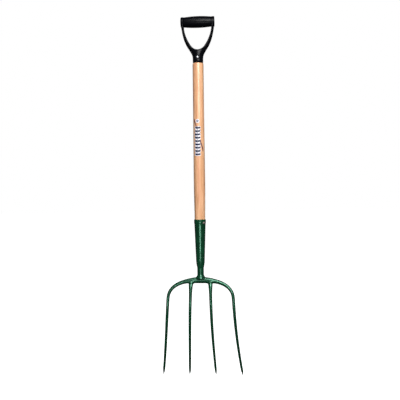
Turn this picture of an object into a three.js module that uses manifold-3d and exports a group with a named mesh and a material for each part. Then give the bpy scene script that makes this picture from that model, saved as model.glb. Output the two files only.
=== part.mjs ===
// A four-tined garden fork: one forged steel head whose tang is driven into an ash shaft, a tapered
// steel ferrule over the joint, and a moulded D grip riveted on the other end of the shaft.
// Millimetres, +Z up along the shaft and +X across the tines, whose tips curve away towards +Y.
// The origin is the middle of the underside of the grip's crossbar.

import * as THREE from "three";
import { mergeVertices } from "three/addons/utils/BufferGeometryUtils.js";
import Module from "manifold-3d";

const wasm = await Module();
wasm.setup();

// ---------- driving dimensions ----------

const fitGap = 0.3; // clearance left between two pieces that touch

const grip = {
  width: 112.2, // over the flat end faces
  armThickness: 9.7, // of each arm where it holds the crossbar
  eyeDiameter: 34, // of each arm's round end, seen from the side
  eyeChamfer: 1.6,
  handDepth: 73.8, // from the crossbar's underside to the bottom of the hand opening
  reach: 119.6, // from the crossbar's underside to the socket's rim
  flareStart: 21.6, // height above the rim at which the socket starts to widen
  forkHeight: 43.1, // height above the rim at which the two arms part
  forkWidth: 55, // over the arms at that height
  armDepth: 26, // of the arms, front to back, at their slimmest
  socketDiameter: 34.8,
  socketWall: 2.6,
  socketDepth: 40,
  padDiameter: 14, // the round pads that the rivet's ends bear on
  padHeight: 0.9,
};

const crossbar = {
  middleDiameter: 38,
  endDiameter: 32.6,
  rodDiameter: 8,
  capDiameter: 14,
  capThickness: 3,
  capChamfer: 0.5,
};

const gripRivet = {
  height: 17.6, // above the socket's rim
  diameter: 4.8,
  headDiameter: 8.4,
  headHeight: 2.4,
  washerDiameter: 10.4,
  washerThickness: 1.2,
  tailDiameter: 7.2,
  tailHeight: 1.5,
};

const shaft = {
  visibleLength: 520.7, // from the socket's rim to the ferrule's mouth
  topDiameter: 36.4,
  swellDiameter: 38, // at its thickest
  swellHeight: 120, // of that place above the ferrule's mouth
  footDiameter: 35.4, // at the ferrule's mouth
  tenonLength: 37,
  shoulderChamfer: 2,
};

const decal = {
  top: 178, // below the socket's rim
  length: 144,
  width: 30, // across the shaft's front, seen flat
  cornerRadius: 6,
  thickness: 0.25,
};

const ferrule = {
  length: 162.3,
  wall: 1.2,
  rimHeight: 13,
  rimThickening: 0.45,
  waistHeight: 15, // of the end that is closed in over the shank
  waistDiameter: 28.4, // where that closing starts
  endDiameter: 22,
};

const ferruleRivet = {
  drop: 11.2, // below the ferrule's mouth
  turn: 45, // degrees round the shaft from the front
  diameter: 4.4,
  headDiameter: 8,
  headHeight: 1.5,
};

const tang = {
  length: 134, // above the shank's shoulder
  rootDiameter: 14,
  tipDiameter: 7,
};

const head = {
  shankLength: 21.7,
  flareHeight: 11.7, // from the shank to the collar's widest place
  collarDiameter: 32.5,
  collarDome: 6.7, // the rounded underside of the collar
  width: 218.4, // between the outer tines' centres, just under the bends
  bowRise: 66, // from there up to the middle of the bow
  bowSquareness: 2.5, // 2 is an ellipse, and more is squarer
  bowDiameter: 15.6,
  bowTaper: 1.6, // 1 thins the bow evenly towards its bends, and more thins it later
  crownHeight: 21.7, // of the bow at its middle, where it is taller than it is deep
  crownReach: 38, // how far out from the middle that height lasts
  innerSpacing: 65.2, // between the inner tines' centres at the bow
  tineDrop: 330, // from the bow's middle down to the tips
  tipWidth: 272, // between the outer tips
  innerTipSpacing: 90.4,
  bowLean: 0.42, // how steeply the bow leans forwards, as run over fall
  tipReach: 48, // how far back the tips end up
  tipLean: 0.385, // and how steeply they point back there
  bendDiameter: 10.9,
  shoulderDiameter: 8.4, // where a tine's point starts
  pointLength: 17,
  pointDiameter: 1.2,
  rootDiameter: 17.6, // of an inner tine where it leaves the bow
  rootFade: 18, // the drop over which that root shrinks to a third
};

const fine = 32; // facets round a large turned piece
const coarse = 14; // facets round a small one
const barSides = 12; // facets round a tine

// ---------- places that follow from them ----------

const halfGrip = grip.width / 2;
const halfHand = halfGrip - grip.armThickness;
const crossbarZ = crossbar.middleDiameter / 2;
const socketRadius = grip.socketDiameter / 2;
const socketBore = socketRadius - grip.socketWall;
const rimZ = -grip.reach;
const gripRivetZ = rimZ + gripRivet.height;
const padY = socketRadius + grip.padHeight;

const mouthZ = rimZ - shaft.visibleLength;
const ferruleEndZ = mouthZ - ferrule.length;
const waistZ = ferruleEndZ + ferrule.waistHeight;
const ferruleRivetZ = mouthZ - ferruleRivet.drop;
const mouthBore = shaft.footDiameter / 2 + fitGap;
const waistBore = ferrule.waistDiameter / 2 - ferrule.wall;
const endBore = ferrule.endDiameter / 2 - ferrule.wall;

const shankTopZ = ferruleEndZ - fitGap;
const shankEndZ = shankTopZ - head.shankLength;
const collarZ = shankEndZ - head.flareHeight;
const bowZ = collarZ - head.collarDome;
const bendEndZ = bowZ - head.bowRise;
const tipZ = bowZ - head.tineDrop;

// ---------- materials ----------

const greenEnamel = finish("green_enamel", 0x0a3f26, 0.32, 0.1);
const ashWood = finish("ash_wood", 0xdcae80, 0.5, 0);
const blackPlastic = finish("black_plastic", 0x121214, 0.42, 0);
const rivetSteel = finish("rivet_steel", 0xb4b8bc, 0.35, 0.9);
const decalFilm = finish("decal_film", 0x232c60, 0.45, 0);

function finish(name, color, roughness, metalness) {
  const material = new THREE.MeshStandardMaterial({ color, roughness, metalness });
  material.name = name;
  return material;
}

// ---------- from three.js geometry to closed solids and back ----------

function solid(geometry) {
  geometry.deleteAttribute("normal");
  geometry.deleteAttribute("uv");
  const merged = mergeVertices(geometry, 1e-4);
  const index = merged.index.array;
  const triangles = [];
  for (let i = 0; i < index.length; i += 3) {
    const [a, b, c] = index.subarray(i, i + 3);
    if (a !== b && b !== c && c !== a) {
      triangles.push(a, b, c);
    }
  }
  return new wasm.Manifold(new wasm.Mesh({
    numProp: 3,
    vertProperties: Float32Array.from(merged.attributes.position.array),
    triVerts: Uint32Array.from(triangles),
  }));
}

function piece(name, body, material) {
  const cut = body.getMesh();
  const geometry = new THREE.BufferGeometry();
  geometry.setAttribute("position", new THREE.BufferAttribute(cut.vertProperties, 3));
  geometry.setIndex(new THREE.BufferAttribute(cut.triVerts, 1));
  geometry.computeVertexNormals();
  const mesh = new THREE.Mesh(geometry, material);
  mesh.name = name;
  return mesh;
}

// A solid turned about the Z axis. The outline runs anticlockwise, as [radius, height] pairs.
function turned(outline, sides) {
  const points = outline.map(([radius, height]) => new THREE.Vector2(radius, height));
  return solid(new THREE.LatheGeometry(points, sides).rotateX(Math.PI / 2));
}

function cylinder(radius, low, high, sides) {
  return turned([[0, low], [radius, low], [radius, high], [0, high]], sides);
}

// Lays a solid made along Z down along X or Y.
function alongX(body) {
  return body.rotate([0, 90, 0]);
}

function alongY(body) {
  return body.rotate([-90, 0, 0]);
}

// A flat outline in X and Z, extruded by the same amount to the front and the back.
function slab(shape, depth) {
  const geometry = new THREE.ExtrudeGeometry(shape, { depth, bevelEnabled: false, curveSegments: 14 });
  return solid(geometry.translate(0, 0, -depth / 2).rotateX(Math.PI / 2));
}

function lerpAlong(pairs, at) {
  const next = pairs.findIndex(([place]) => place >= at);
  if (next === 0) {
    return pairs[0][1];
  }
  if (next < 0) {
    return pairs.at(-1)[1];
  }
  const [x0, y0] = pairs[next - 1];
  const [x1, y1] = pairs[next];
  return THREE.MathUtils.mapLinear(at, x0, x1, y0, y1);
}

// ---------- grip ----------

// The half-width of the grip's front view against height, as the arms run down into the socket.
function gripFrontLine() {
  const line = new THREE.Path();
  const forkX = grip.forkWidth / 2;
  const forkZ = rimZ + grip.forkHeight;
  const flareZ = rimZ + grip.flareStart;
  const shoulderZ = crossbarZ - 3;
  const fall = shoulderZ - forkZ;
  line.moveTo(socketRadius, rimZ);
  line.lineTo(socketRadius, flareZ);
  line.quadraticCurveTo(socketRadius, flareZ + (forkZ - flareZ) / 3, forkX, forkZ);
  line.bezierCurveTo(
    THREE.MathUtils.lerp(forkX, halfGrip, 0.65), forkZ + fall * 0.35,
    halfGrip - 0.5, forkZ + fall * 0.72,
    halfGrip, shoulderZ,
  );
  line.lineTo(halfGrip, crossbarZ);
  return line.getPoints(12).map((point) => [point.y, point.x]);
}

// The same for its side view: a round socket, slimmer arms, and round ends at the crossbar.
function gripSideLine() {
  const line = new THREE.Path();
  const slimZ = -grip.handDepth / 2;
  const eyeRadius = grip.eyeDiameter / 2;
  line.moveTo(socketRadius, rimZ);
  line.lineTo(socketRadius, rimZ + grip.flareStart);
  line.bezierCurveTo(
    socketRadius, rimZ + grip.forkHeight,
    grip.armDepth / 2, slimZ - 16,
    grip.armDepth / 2, slimZ,
  );
  line.bezierCurveTo(
    grip.armDepth / 2, slimZ + 16,
    eyeRadius, crossbarZ - eyeRadius,
    eyeRadius, crossbarZ,
  );
  return line.getPoints(12).map((point) => [point.y, point.x]);
}

// The opening between the arms, carried on upwards through the place of the crossbar.
function handOpening() {
  const bottom = -grip.handDepth;
  const topZ = crossbarZ + grip.eyeDiameter;
  const shape = new THREE.Shape();
  shape.moveTo(-halfHand, topZ);
  shape.lineTo(-halfHand, 0);
  shape.bezierCurveTo(-halfHand * 0.95, bottom * 0.39, -halfHand * 0.43, bottom, 0, bottom);
  shape.bezierCurveTo(halfHand * 0.43, bottom, halfHand * 0.95, bottom * 0.39, halfHand, 0);
  shape.lineTo(halfHand, topZ);
  return slab(shape, grip.socketDiameter * 2);
}

// A lofted form whose level sections go from round at the socket to squarer ovals at the arms.
function gripForm() {
  const front = gripFrontLine();
  const side = gripSideLine();
  const rows = 24;
  const outline = [[0, rimZ]];
  for (let i = 0; i <= rows; i++) {
    outline.push([1, THREE.MathUtils.lerp(rimZ, crossbarZ, i / rows)]);
  }
  outline.push([0, crossbarZ]);
  const points = outline.map(([radius, height]) => new THREE.Vector2(radius, height));
  const geometry = new THREE.LatheGeometry(points, fine).rotateX(Math.PI / 2);
  const position = geometry.attributes.position;
  for (let i = 0; i < position.count; i++) {
    const [x, y, z] = [position.getX(i), position.getY(i), position.getZ(i)];
    const squareness = 2 + THREE.MathUtils.smoothstep(z, rimZ + grip.flareStart, -grip.handDepth / 2);
    const swell = (value) => Math.sign(value) * Math.abs(value) ** (2 / squareness);
    position.setXY(i, swell(x) * lerpAlong(front, z), swell(y) * lerpAlong(side, z));
  }
  return solid(geometry);
}

function gripEye() {
  const radius = grip.eyeDiameter / 2;
  return alongX(turned([
    [0, halfHand - 2],
    [radius, halfHand - 2],
    [radius, halfGrip - grip.eyeChamfer],
    [radius - grip.eyeChamfer, halfGrip],
    [0, halfGrip],
  ], fine));
}

function gripYoke() {
  const eye = gripEye();
  const pads = alongY(cylinder(grip.padDiameter / 2, -padY, padY, coarse)).translate([0, 0, gripRivetZ]);
  const recessDepth = crossbar.capThickness + fitGap;
  const recess = alongX(cylinder(
    crossbar.capDiameter / 2 + fitGap, halfGrip - recessDepth, halfGrip + 1, coarse,
  ));
  const recesses = recess.add(recess.mirror([1, 0, 0]));
  const rodBore = alongX(cylinder(crossbar.rodDiameter / 2 + fitGap, -halfGrip, halfGrip, coarse));
  const socket = cylinder(socketBore, rimZ - 1, rimZ + grip.socketDepth, fine);
  const rivetBore = alongY(cylinder(gripRivet.diameter / 2 + fitGap, -padY - 1, padY + 1, coarse));
  return gripForm()
    .add(eye.add(eye.mirror([1, 0, 0])).translate([0, 0, crossbarZ]))
    .add(pads)
    .subtract(handOpening())
    .subtract(recesses.add(rodBore).translate([0, 0, crossbarZ]))
    .subtract(socket)
    .subtract(rivetBore.translate([0, 0, gripRivetZ]));
}

// The barrel-shaped hand piece that turns the yoke's two arms into a closed D.
function gripSleeve() {
  const half = halfHand - fitGap;
  const bore = crossbar.rodDiameter / 2 + fitGap;
  const bulge = new THREE.QuadraticBezierCurve(
    new THREE.Vector2(crossbar.endDiameter / 2, -half),
    new THREE.Vector2(crossbar.middleDiameter - crossbar.endDiameter / 2, 0),
    new THREE.Vector2(crossbar.endDiameter / 2, half),
  );
  const outline = bulge.getPoints(10).map((point) => [point.x, point.y]);
  outline.push([bore, half], [bore, -half], outline[0]);
  return alongX(turned(outline, fine)).translate([0, 0, crossbarZ]);
}

function gripRod() {
  const half = halfGrip - crossbar.capThickness - 2 * fitGap;
  return alongX(cylinder(crossbar.rodDiameter / 2, -half, half, coarse)).translate([0, 0, crossbarZ]);
}

// A flush plug over one end of the rod, on the +X side.
function gripCap() {
  const radius = crossbar.capDiameter / 2;
  const inner = halfGrip - crossbar.capThickness;
  return alongX(turned([
    [0, inner],
    [radius, inner],
    [radius, halfGrip - crossbar.capChamfer],
    [radius - crossbar.capChamfer, halfGrip],
    [0, halfGrip],
  ], coarse)).translate([0, 0, crossbarZ]);
}

// ---------- rivets ----------

// A low domed head outline from its base up to the axis, with the flat side at height `base`.
function dome(radius, height, base) {
  const steps = 4;
  const outline = [];
  for (let i = 0; i < steps; i++) {
    const turn = (i / steps) * (Math.PI / 2);
    outline.push([radius * Math.cos(turn), base + height * Math.sin(turn)]);
  }
  outline.push([0, base + height]);
  return outline;
}

// Mirrors a head outline end for end, and runs it the other way so that it still goes anticlockwise.
function flipped(outline) {
  return outline.map(([radius, height]) => [radius, -height]).reverse();
}

function gripRivetBody() {
  const radius = gripRivet.diameter / 2;
  const headBase = padY + fitGap;
  const tailBase = padY + gripRivet.washerThickness + 2 * fitGap;
  const body = turned([
    ...flipped(dome(gripRivet.headDiameter / 2, gripRivet.headHeight, headBase)),
    [radius, -headBase],
    [radius, tailBase],
    ...dome(gripRivet.tailDiameter / 2, gripRivet.tailHeight, tailBase),
  ], coarse);
  return alongY(body).translate([0, 0, gripRivetZ]);
}

function gripWasher() {
  const low = padY + fitGap;
  const high = low + gripRivet.washerThickness;
  const bore = gripRivet.diameter / 2 + fitGap;
  const rim = gripRivet.washerDiameter / 2;
  const ring = turned([[bore, low], [rim, low], [rim, high], [bore, high], [bore, low]], coarse);
  return alongY(ring).translate([0, 0, gripRivetZ]);
}

// Turns a solid that lies along Y to the ferrule rivet's direction, at its height.
function atFerruleRivet(body) {
  return alongY(body).rotate([0, 0, ferruleRivet.turn]).translate([0, 0, ferruleRivetZ]);
}

function ferruleRivetBody() {
  const radius = ferruleRivet.diameter / 2;
  const base = mouthBore + ferrule.wall + ferrule.rimThickening + fitGap;
  const capDome = dome(ferruleRivet.headDiameter / 2, ferruleRivet.headHeight, base);
  return atFerruleRivet(turned([...flipped(capDome), [radius, -base], [radius, base], ...capDome], coarse));
}

function ferruleRivetBore() {
  const reach = mouthBore + ferrule.wall + 5;
  return atFerruleRivet(cylinder(ferruleRivet.diameter / 2 + fitGap, -reach, reach, coarse));
}

// ---------- shaft ----------

// The bore of the ferrule at a height, which the shaft's foot follows with the fit's gap.
function ferruleBoreAt(z) {
  return lerpAlong([[ferruleEndZ, endBore], [waistZ, waistBore], [mouthZ, mouthBore]], z);
}

// The turned surface of the shaft between the ferrule's mouth and the grip, from the foot up.
function shaftLine() {
  const top = rimZ - fitGap - shaft.shoulderChamfer;
  const swellZ = mouthZ + shaft.swellHeight;
  const foot = new THREE.CubicBezierCurve(
    new THREE.Vector2(shaft.footDiameter / 2, mouthZ),
    new THREE.Vector2(shaft.footDiameter / 2, mouthZ + shaft.swellHeight / 3),
    new THREE.Vector2(shaft.swellDiameter / 2, swellZ - shaft.swellHeight / 3),
    new THREE.Vector2(shaft.swellDiameter / 2, swellZ),
  );
  const length = new THREE.CubicBezierCurve(
    new THREE.Vector2(shaft.swellDiameter / 2, swellZ),
    new THREE.Vector2(shaft.swellDiameter / 2, THREE.MathUtils.lerp(swellZ, top, 1 / 3)),
    new THREE.Vector2(shaft.topDiameter / 2, THREE.MathUtils.lerp(swellZ, top, 1 / 3)),
    new THREE.Vector2(shaft.topDiameter / 2, top),
  );
  return [...foot.getPoints(8), ...length.getPoints(12).slice(1)].map((point) => [point.x, point.y]);
}

function woodShaft() {
  const footEnd = waistZ + fitGap;
  const boreTop = shankTopZ + tang.length + fitGap;
  const tenon = socketBore - fitGap;
  const line = shaftLine();
  const body = turned([
    [0, boreTop],
    [tang.tipDiameter / 2 + fitGap, boreTop],
    [tang.rootDiameter / 2 + fitGap, footEnd],
    [ferruleBoreAt(footEnd) - fitGap, footEnd],
    ...line,
    [shaft.topDiameter / 2 - shaft.shoulderChamfer, rimZ - fitGap],
    [tenon, rimZ - fitGap],
    [tenon, rimZ + shaft.tenonLength - 1],
    [tenon - 1, rimZ + shaft.tenonLength],
    [0, rimZ + shaft.tenonLength],
  ], fine);
  const gripHole = alongY(cylinder(gripRivet.diameter / 2 + fitGap, -padY, padY, coarse));
  return body.subtract(gripHole.translate([0, 0, gripRivetZ])).subtract(ferruleRivetBore());
}

// A thin printed film that follows the shaft's front.
function shaftDecal() {
  const inner = shaftLine().map(([radius, z]) => [radius + fitGap / 2, z]);
  const outer = inner.map(([radius, z]) => [radius + decal.thickness, z]);
  const film = turned([...outer, ...inner.reverse(), outer[0]], 72);
  const [half, low, high] = [decal.width / 2, rimZ - decal.top - decal.length, rimZ - decal.top];
  const corner = decal.cornerRadius;
  const shape = new THREE.Shape();
  shape.absarc(half - corner, low + corner, corner, -Math.PI / 2, 0);
  shape.absarc(half - corner, high - corner, corner, 0, Math.PI / 2);
  shape.absarc(corner - half, high - corner, corner, Math.PI / 2, Math.PI);
  shape.absarc(corner - half, low + corner, corner, Math.PI, Math.PI * 1.5);
  const reach = shaft.swellDiameter;
  return film.intersect(slab(shape, reach).translate([0, -reach / 2, 0]));
}

// ---------- ferrule ----------

function ferruleBody() {
  const wall = ferrule.wall;
  const rimZone = mouthZ - ferrule.rimHeight;
  const rim = mouthBore + wall + ferrule.rimThickening;
  const body = turned([
    [endBore, ferruleEndZ],
    [ferrule.endDiameter / 2, ferruleEndZ],
    [THREE.MathUtils.lerp(endBore, waistBore, 0.55) + wall, ferruleEndZ + ferrule.waistHeight * 0.4],
    [THREE.MathUtils.lerp(endBore, waistBore, 0.9) + wall, ferruleEndZ + ferrule.waistHeight * 0.8],
    [ferruleBoreAt(waistZ + 8) + wall, waistZ + 8],
    [ferruleBoreAt(rimZone - 1) + wall, rimZone - 1],
    [rim, rimZone + 1],
    [rim, mouthZ - 0.8],
    [rim - 0.6, mouthZ],
    [mouthBore, mouthZ],
    [waistBore, waistZ],
    [endBore, ferruleEndZ],
  ], fine);
  return body.subtract(ferruleRivetBore());
}

// ---------- forged head ----------

// How far forwards or back the head's bars run at a height: a smooth bend from the bow to the tips.
function sideY(z) {
  const f = (bowZ - z) / head.tineDrop;
  const leaveBow = f ** 3 - 2 * f ** 2 + f;
  const arrive = 3 * f ** 2 - 2 * f ** 3;
  const leaveTip = f ** 3 - f ** 2;
  return arrive * head.tipReach + head.tineDrop * (leaveTip * head.tipLean - leaveBow * head.bowLean);
}

// The height of the bow's centre line at a distance from the middle.
function bowHeight(x) {
  const out = x / (head.width / 2);
  return bendEndZ + head.bowRise * (1 - out ** head.bowSquareness) ** (1 / head.bowSquareness);
}

// The sideways place of a tine that spreads from one half-spacing to another on its way down.
function spreadX(from, to, startZ, z) {
  const f = (startZ - z) / (startZ - tipZ);
  return from + (to - from) * (0.5 * f + 0.5 * f * f);
}

// The centre line of one outer tine with its half of the bow, from the bow's middle to the tip.
function outerHalfLine() {
  const points = [];
  const bowSteps = 14;
  for (let i = 0; i <= bowSteps; i++) {
    const turn = (Math.PI / 2) * (1 - i / bowSteps);
    const x = (head.width / 2) * Math.cos(turn) ** (2 / head.bowSquareness);
    const z = bendEndZ + head.bowRise * Math.sin(turn) ** (2 / head.bowSquareness);
    points.push(new THREE.Vector3(x, sideY(z), z));
  }
  const tineSteps = 12;
  for (let i = 1; i <= tineSteps; i++) {
    const z = THREE.MathUtils.lerp(bendEndZ, tipZ, i / tineSteps);
    points.push(new THREE.Vector3(spreadX(head.width / 2, head.tipWidth / 2, bendEndZ, z), sideY(z), z));
  }
  return points;
}

function innerTineLine() {
  const points = [];
  const steps = 16;
  const topZ = bowHeight(head.innerSpacing / 2);
  for (let i = 0; i <= steps; i++) {
    const z = THREE.MathUtils.lerp(topZ, tipZ, i / steps);
    const x = spreadX(head.innerSpacing / 2, head.innerTipSpacing / 2, topZ, z);
    points.push(new THREE.Vector3(x, sideY(z), z));
  }
  return points;
}

// A round bar bent along a line of points. radiusAt gives its radius at a distance along the line,
// and where that is more than maxDepth the bar is flattened to it, front to back.
function bentBar(points, radiusAt, step, maxDepth = Infinity) {
  const line = new THREE.CatmullRomCurve3(points, false, "centripetal");
  line.arcLengthDivisions = 600;
  const length = line.getLength();
  const rows = Math.round(length / step);
  const outline = [new THREE.Vector2(0, 0)];
  for (let i = 0; i <= rows; i++) {
    const along = (i / rows) * length;
    outline.push(new THREE.Vector2(radiusAt(along, length), along));
  }
  outline.push(new THREE.Vector2(0, length));
  const geometry = new THREE.LatheGeometry(outline, barSides);
  const position = geometry.attributes.position;
  const front = new THREE.Vector3(0, -1, 0);
  for (let i = 0; i < position.count; i++) {
    const at = Math.min(1, position.getY(i) / length);
    const along = line.getTangentAt(at);
    const across = new THREE.Vector3().crossVectors(front, along).normalize();
    const outwards = new THREE.Vector3().crossVectors(along, across);
    const radius = Math.hypot(position.getX(i), position.getZ(i));
    const flattening = Math.min(1, maxDepth / Math.max(radius, 0.01));
    const place = line.getPointAt(at)
      .addScaledVector(outwards, position.getX(i) * flattening)
      .addScaledVector(across, position.getZ(i));
    position.setXYZ(i, place.x, place.y, place.z);
  }
  return solid(geometry);
}

// A tine's radius at a distance from its tip, up to where it meets the bow's bend.
function tineRadius(fromTip) {
  return lerpAlong([
    [0, head.pointDiameter / 2],
    [head.pointLength, head.shoulderDiameter / 2],
    [head.tineDrop - head.bowRise, head.bendDiameter / 2],
  ], fromTip);
}

function outerBar() {
  const half = outerHalfLine();
  const otherHalf = half.slice(1).map((point) => new THREE.Vector3(-point.x, point.y, point.z));
  return bentBar([...otherHalf.reverse(), ...half], (along, length) => {
    const fromTip = Math.min(along, length - along);
    const straight = head.tineDrop - head.bowRise;
    const toMiddle = Math.max(0, THREE.MathUtils.mapLinear(fromTip, straight, length / 2, 0, 1));
    const thickening = 1 - (1 - toMiddle) ** head.bowTaper;
    const fromMiddle = Math.abs(length / 2 - along);
    const crown = ((head.crownHeight - head.bowDiameter) / 2) * Math.exp(-((fromMiddle / head.crownReach) ** 3));
    return THREE.MathUtils.lerp(tineRadius(fromTip), head.bowDiameter / 2, thickening) + crown;
  }, 11, head.bowDiameter / 2);
}

// The inner tine on the +X side. Its root swells where it leaves the bow, and starts inside the bow.
function innerTine() {
  return bentBar(innerTineLine(), (along, length) => {
    const swell = (head.rootDiameter - head.bendDiameter) / 2;
    const bowRadius = head.bowDiameter / 2;
    const root = swell * Math.exp(-Math.max(0, along - bowRadius) / head.rootFade);
    return tineRadius(length - along) + root;
  }, 9, head.bowDiameter * 0.4);
}

// Everything turned on the shaft's axis: the tang, the neck inside the ferrule, the shank and collar.
function headStem() {
  const neck = endBore - fitGap;
  const neckTop = waistZ;
  const shank = ferrule.endDiameter / 2;
  const collar = head.collarDiameter / 2;
  const flare = new THREE.CubicBezierCurve(
    new THREE.Vector2(collar, collarZ),
    new THREE.Vector2(collar, collarZ + head.flareHeight * 0.35),
    new THREE.Vector2(shank, shankEndZ - head.flareHeight * 0.3),
    new THREE.Vector2(shank, shankEndZ),
  );
  return turned([
    ...flipped(dome(collar, head.collarDome, -collarZ)),
    ...flare.getPoints(8).slice(1).map((point) => [point.x, point.y]),
    [shank, shankTopZ],
    [neck, shankTopZ],
    [neck, neckTop],
    [tang.rootDiameter / 2, neckTop],
    [tang.tipDiameter / 2, shankTopZ + tang.length],
    [0, shankTopZ + tang.length],
  ], fine);
}

function forgedHead() {
  const tine = innerTine();
  return outerBar()
    .add(tine)
    .add(tine.mirror([1, 0, 0]))
    .add(headStem())
    .subtract(ferruleRivetBore());
}

// ---------- the assembly ----------

const fork = new THREE.Group();
const cap = gripCap();
fork.add(
  piece("forged_head", forgedHead(), greenEnamel),
  piece("ferrule", ferruleBody(), greenEnamel),
  piece("ferrule_rivet", ferruleRivetBody(), rivetSteel),
  piece("wood_shaft", woodShaft(), ashWood),
  piece("shaft_decal", shaftDecal(), decalFilm),
  piece("grip_yoke", gripYoke(), blackPlastic),
  piece("grip_sleeve", gripSleeve(), blackPlastic),
  piece("grip_rod", gripRod(), rivetSteel),
  piece("grip_cap_left", cap.mirror([1, 0, 0]), blackPlastic),
  piece("grip_cap_right", cap, blackPlastic),
  piece("grip_rivet", gripRivetBody(), rivetSteel),
  piece("grip_rivet_washer", gripWasher(), rivetSteel),
);

export default fork;
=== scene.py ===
import math

import bmesh
import bpy
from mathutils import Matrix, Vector


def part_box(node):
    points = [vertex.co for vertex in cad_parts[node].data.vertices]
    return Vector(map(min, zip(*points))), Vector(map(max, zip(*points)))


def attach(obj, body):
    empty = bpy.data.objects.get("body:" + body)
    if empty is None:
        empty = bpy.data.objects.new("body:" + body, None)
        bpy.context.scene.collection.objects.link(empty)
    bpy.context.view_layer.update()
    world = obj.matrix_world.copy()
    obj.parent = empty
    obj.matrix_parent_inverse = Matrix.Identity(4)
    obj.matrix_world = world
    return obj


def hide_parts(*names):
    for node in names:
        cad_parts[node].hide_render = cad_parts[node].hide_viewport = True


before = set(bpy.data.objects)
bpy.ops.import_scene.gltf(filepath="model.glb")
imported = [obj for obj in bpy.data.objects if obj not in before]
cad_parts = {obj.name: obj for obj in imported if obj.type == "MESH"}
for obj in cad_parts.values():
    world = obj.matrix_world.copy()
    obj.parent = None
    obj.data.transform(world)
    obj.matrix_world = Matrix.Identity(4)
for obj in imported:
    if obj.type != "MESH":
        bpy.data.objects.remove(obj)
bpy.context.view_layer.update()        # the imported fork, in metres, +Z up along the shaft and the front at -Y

# Places that the pieces share, read off the frame.
yokeLow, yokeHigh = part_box("grip_yoke")
sleeveLow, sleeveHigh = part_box("grip_sleeve")
rodLow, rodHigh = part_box("grip_rod")
capLow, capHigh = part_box("grip_cap_right")
gripRivetLow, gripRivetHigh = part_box("grip_rivet")
washerLow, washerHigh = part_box("grip_rivet_washer")
shaftLow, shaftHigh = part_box("wood_shaft")
decalLow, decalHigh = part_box("shaft_decal")
ferruleLow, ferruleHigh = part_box("ferrule")
ferruleRivetLow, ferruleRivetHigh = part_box("ferrule_rivet")
headLow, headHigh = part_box("forged_head")

fitGap = 0.0003          # what touching pieces leave between them
edgeBreak = 0.0004       # what the edges of plain turned pieces are broken by
smallStep = 0.001        # how far a cutting tool stands past what it cuts
rimZ = yokeLow.z         # the grip socket's rim, where the bare wood starts
mouthZ = ferruleHigh.z   # the ferrule's mouth, where it ends
crossbarZ = (sleeveLow.z + sleeveHigh.z) / 2
gripRivetZ = (gripRivetLow.z + gripRivetHigh.z) / 2
ferruleRivetZ = (ferruleRivetLow.z + ferruleRivetHigh.z) / 2
halfGrip = yokeHigh.x
halfHand = sleeveHigh.x + fitGap

cameraLook = {
    "distance": 2.0,
    "azimuth": 5.0,        # degrees round from straight in front, towards +X
    "aim": (0.001, 0.0, -0.5755),
    "viewWidth": 1.336,    # what the picture spans at the fork
    "roll": -0.71,
}
lamps = {                  # place, what it points at, width, height, watts
    "low strip": ((0.19, -2.2, -1.0), (0.0, 0.0, -0.8), 0.6, 0.26, 8.0),
    "top box": ((0.2, -2.0, 2.2), (0.0, 0.0, -0.4), 1.6, 0.34, 17),
    "head box": ((0.6, -2.35, 0.74), (0.0, 0.0, -0.87), 1.4, 1.2, 92),
    "back box": ((-1.3, 1.9, 2.0), (0.0, 0.0, -0.5), 1.6, 1.0, 18),
}
surroundings = {
    "floorRadius": 30.0,
    "floorDrop": 0.002,    # under the tips
    "front": 0.06,         # light from the viewer's side of the room
    "back": 0.05,          # and from behind the fork
}


def aimAt(thing, target):
    thing.rotation_euler = (Vector(target) - thing.location).to_track_quat("-Z", "Y").to_euler()


def addCamera():
    turn = math.radians(cameraLook["azimuth"])
    aim = Vector(cameraLook["aim"])
    away = Vector((math.sin(turn), -math.cos(turn), 0)) * cameraLook["distance"]
    bpy.ops.object.camera_add(location=aim + away)
    camera = bpy.context.object
    camera.name = "camera"
    aimAt(camera, aim)
    camera.rotation_euler.rotate_axis("Z", math.radians(cameraLook["roll"]))
    halfView = cameraLook["viewWidth"] / 2 / cameraLook["distance"]
    camera.data.lens = camera.data.sensor_width / 2 / halfView
    bpy.context.scene.camera = camera


def addLamps():
    for name, (place, target, width, height, watts) in lamps.items():
        bpy.ops.object.light_add(type="AREA", location=place)
        lamp = bpy.context.object
        lamp.name = name
        lamp.data.shape = "RECTANGLE"
        lamp.data.size = width
        lamp.data.size_y = height
        lamp.data.energy = watts
        aimAt(lamp, target)


# A white room: as bright as paper to the eye, and darker in front than behind as a source of light.
def addSurroundings():
    world = bpy.context.scene.world or bpy.data.worlds.new("world")
    bpy.context.scene.world = world
    world.use_nodes = True
    nodes = world.node_tree.nodes
    links = world.node_tree.links
    direction = nodes.new("ShaderNodeTexCoord")
    parts = nodes.new("ShaderNodeSeparateXYZ")
    links.new(direction.outputs["Generated"], parts.inputs[0])
    roomLight = nodes.new("ShaderNodeMapRange")
    roomLight.interpolation_type = "SMOOTHSTEP"
    roomLight.inputs["From Min"].default_value = -0.1
    roomLight.inputs["From Max"].default_value = 0.9
    roomLight.inputs["To Min"].default_value = surroundings["front"]
    roomLight.inputs["To Max"].default_value = surroundings["back"]
    links.new(parts.outputs["Y"], roomLight.inputs["Value"])
    paths = nodes.new("ShaderNodeLightPath")
    seen = nodes.new("ShaderNodeMath")
    seen.operation = "MAXIMUM"
    links.new(paths.outputs["Is Camera Ray"], seen.inputs[0])
    links.new(roomLight.outputs["Result"], seen.inputs[1])
    paper = nodes["Background"]
    paper.inputs["Color"].default_value = (1, 1, 1, 1)
    links.new(seen.outputs[0], paper.inputs["Strength"])


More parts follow.
